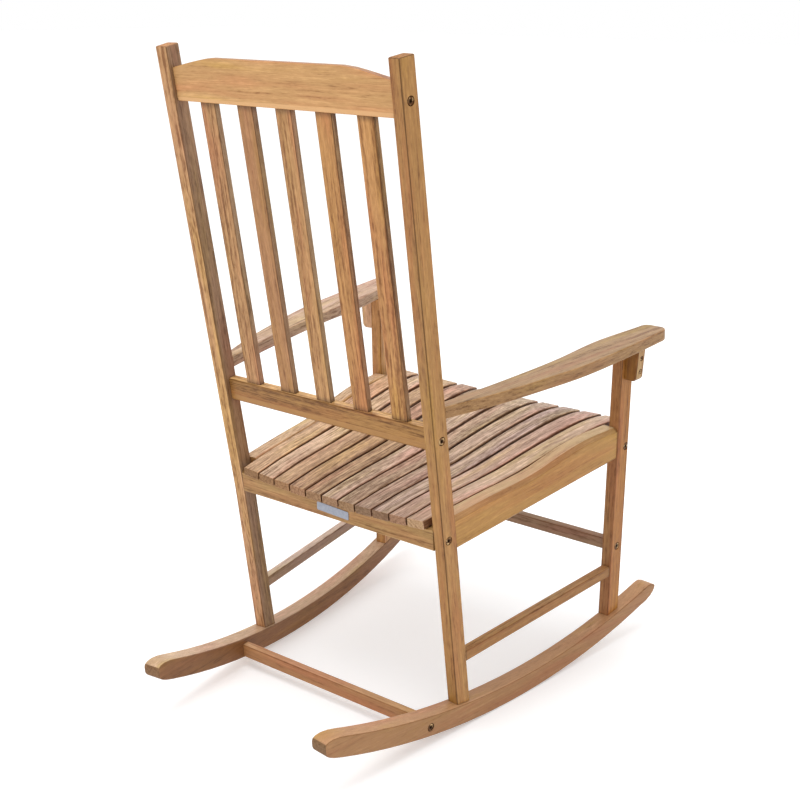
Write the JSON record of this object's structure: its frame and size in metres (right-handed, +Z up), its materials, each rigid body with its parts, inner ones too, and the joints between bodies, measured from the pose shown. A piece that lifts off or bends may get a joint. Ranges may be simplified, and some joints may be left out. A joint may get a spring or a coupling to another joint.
{
  "type": "rocking chair",
  "caption": "Slatted hardwood porch rocking chair with a tall slat back, dished tapered seat slats, swelling paddle arms and curved rockers on splayed side frames.",
  "frame": {"origin": "on the floor under the middle of the chair's bounding box, at the lowest point of the rockers", "axes": "+Z up, the sitter faces -Y, +X to the sitter's left"},
  "size_m": [0.6632, 0.8644, 1.1073],
  "materials": {
    "frame_wood": "oiled, satin",
    "back_wood": "oiled, satin",
    "seat_wood": "oiled, satin, paler heartwood",
    "bronzed_steel": "bronzed, satin",
    "tag": "matt, blank"
  },
  "bodies": {
    "root": {"arm_bracket_left": "frame_wood", "arm_bracket_right": "frame_wood", "arm_left": "frame_wood", "arm_right": "frame_wood", "back_slat_1": "back_wood", "back_slat_2": "back_wood", "back_slat_3": "back_wood", "back_slat_4": "back_wood", "back_slat_5": "back_wood", "bolt_crest_left": "bronzed_steel", "bolt_crest_right": "bronzed_steel", "bolt_front_apron_left": "bronzed_steel", "bolt_front_apron_right": "bronzed_steel", "bolt_front_stretcher_left": "bronzed_steel", "bolt_front_stretcher_right": "bronzed_steel", "bolt_lower_rail_left": "bronzed_steel", "bolt_lower_rail_right": "bronzed_steel", "bolt_rear_apron_left": "bronzed_steel", "bolt_rear_apron_right": "bronzed_steel", "bolt_rocker_stretcher_left": "bronzed_steel", "bolt_rocker_stretcher_right": "bronzed_steel", "bracket_screw_left_1": "bronzed_steel", "bracket_screw_left_2": "bronzed_steel", "bracket_screw_right_1": "bronzed_steel", "bracket_screw_right_2": "bronzed_steel", "crest_rail": "back_wood", "front_apron": "frame_wood", "front_leg_left": "frame_wood", "front_leg_right": "frame_wood", "front_stretcher": "frame_wood", "label_tag": "tag", "lower_back_rail": "back_wood", "rear_apron": "frame_wood", "rear_post_left": "frame_wood", "rear_post_right": "frame_wood", "rocker_left": "frame_wood", "rocker_right": "frame_wood", "rocker_stretcher": "frame_wood", "seat_batten": "frame_wood", "seat_slat_01": "seat_wood", "seat_slat_02": "seat_wood", "seat_slat_03": "seat_wood", "seat_slat_04": "seat_wood", "seat_slat_05": "seat_wood", "seat_slat_06": "seat_wood", "seat_slat_07": "seat_wood", "seat_slat_08": "seat_wood", "seat_slat_09": "seat_wood", "seat_slat_10": "seat_wood", "seat_slat_11": "seat_wood", "side_rail_left": "frame_wood", "side_rail_right": "frame_wood", "side_stretcher_left": "frame_wood", "side_stretcher_right": "frame_wood"}
  },
  "joints": []
}
